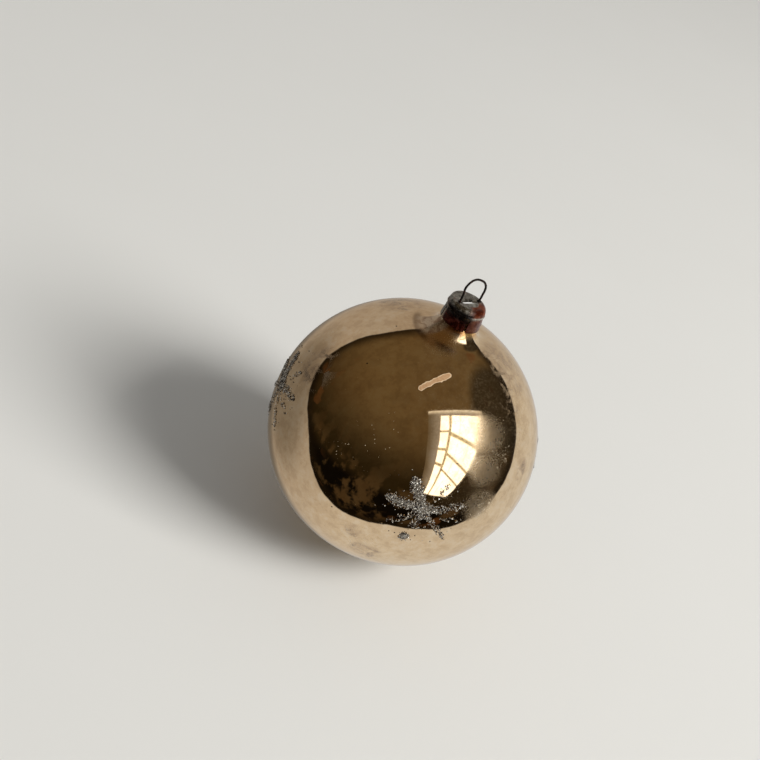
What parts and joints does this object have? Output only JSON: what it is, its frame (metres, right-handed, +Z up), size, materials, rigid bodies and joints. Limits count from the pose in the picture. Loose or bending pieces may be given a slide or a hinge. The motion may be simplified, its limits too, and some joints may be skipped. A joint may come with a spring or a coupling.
{
  "type": "glass ball ornament",
  "caption": "Hollow mirrored glass ball with glitter star motifs, a pressed tin cap with slit skirt and a spring-wire hanging loop.",
  "frame": {"origin": "inside top of the wire loop, where a hook holds the ornament", "axes": "+Z up along the neck's axis, +X along the line between the wire's two feet, so the loop stands in the XZ plane and is open along Y"},
  "size_m": [0.075, 0.075, 0.0898],
  "materials": {
    "silvered_glass": "champagne-gold silvered glass, tarnished",
    "tinplate": "tarnished tinplate with red-brown rust",
    "steel_wire": "dark rusty spring steel",
    "glitter": "silver-grey glitter grains set in glue"
  },
  "bodies": {
    "hanger": {"wire_hanger": "steel_wire"},
    "cap": {"cap": "tinplate"},
    "ball": {"glass_ball": "silvered_glass", "glitter_motif_1": "glitter", "glitter_motif_2": "glitter", "glitter_motif_3": "glitter", "glitter_motif_4": "glitter"}
  },
  "joints": [
    {"name": "cap_slide", "type": "slide", "parent": "hanger", "child": "cap", "axis": [0, 0, 1], "range_m": [0, 0.0025]},
    {"name": "ball_pull", "type": "slide", "parent": "hanger", "child": "ball", "axis": [0, 0, -1], "range_m": [0, 0.026]}
  ]
}
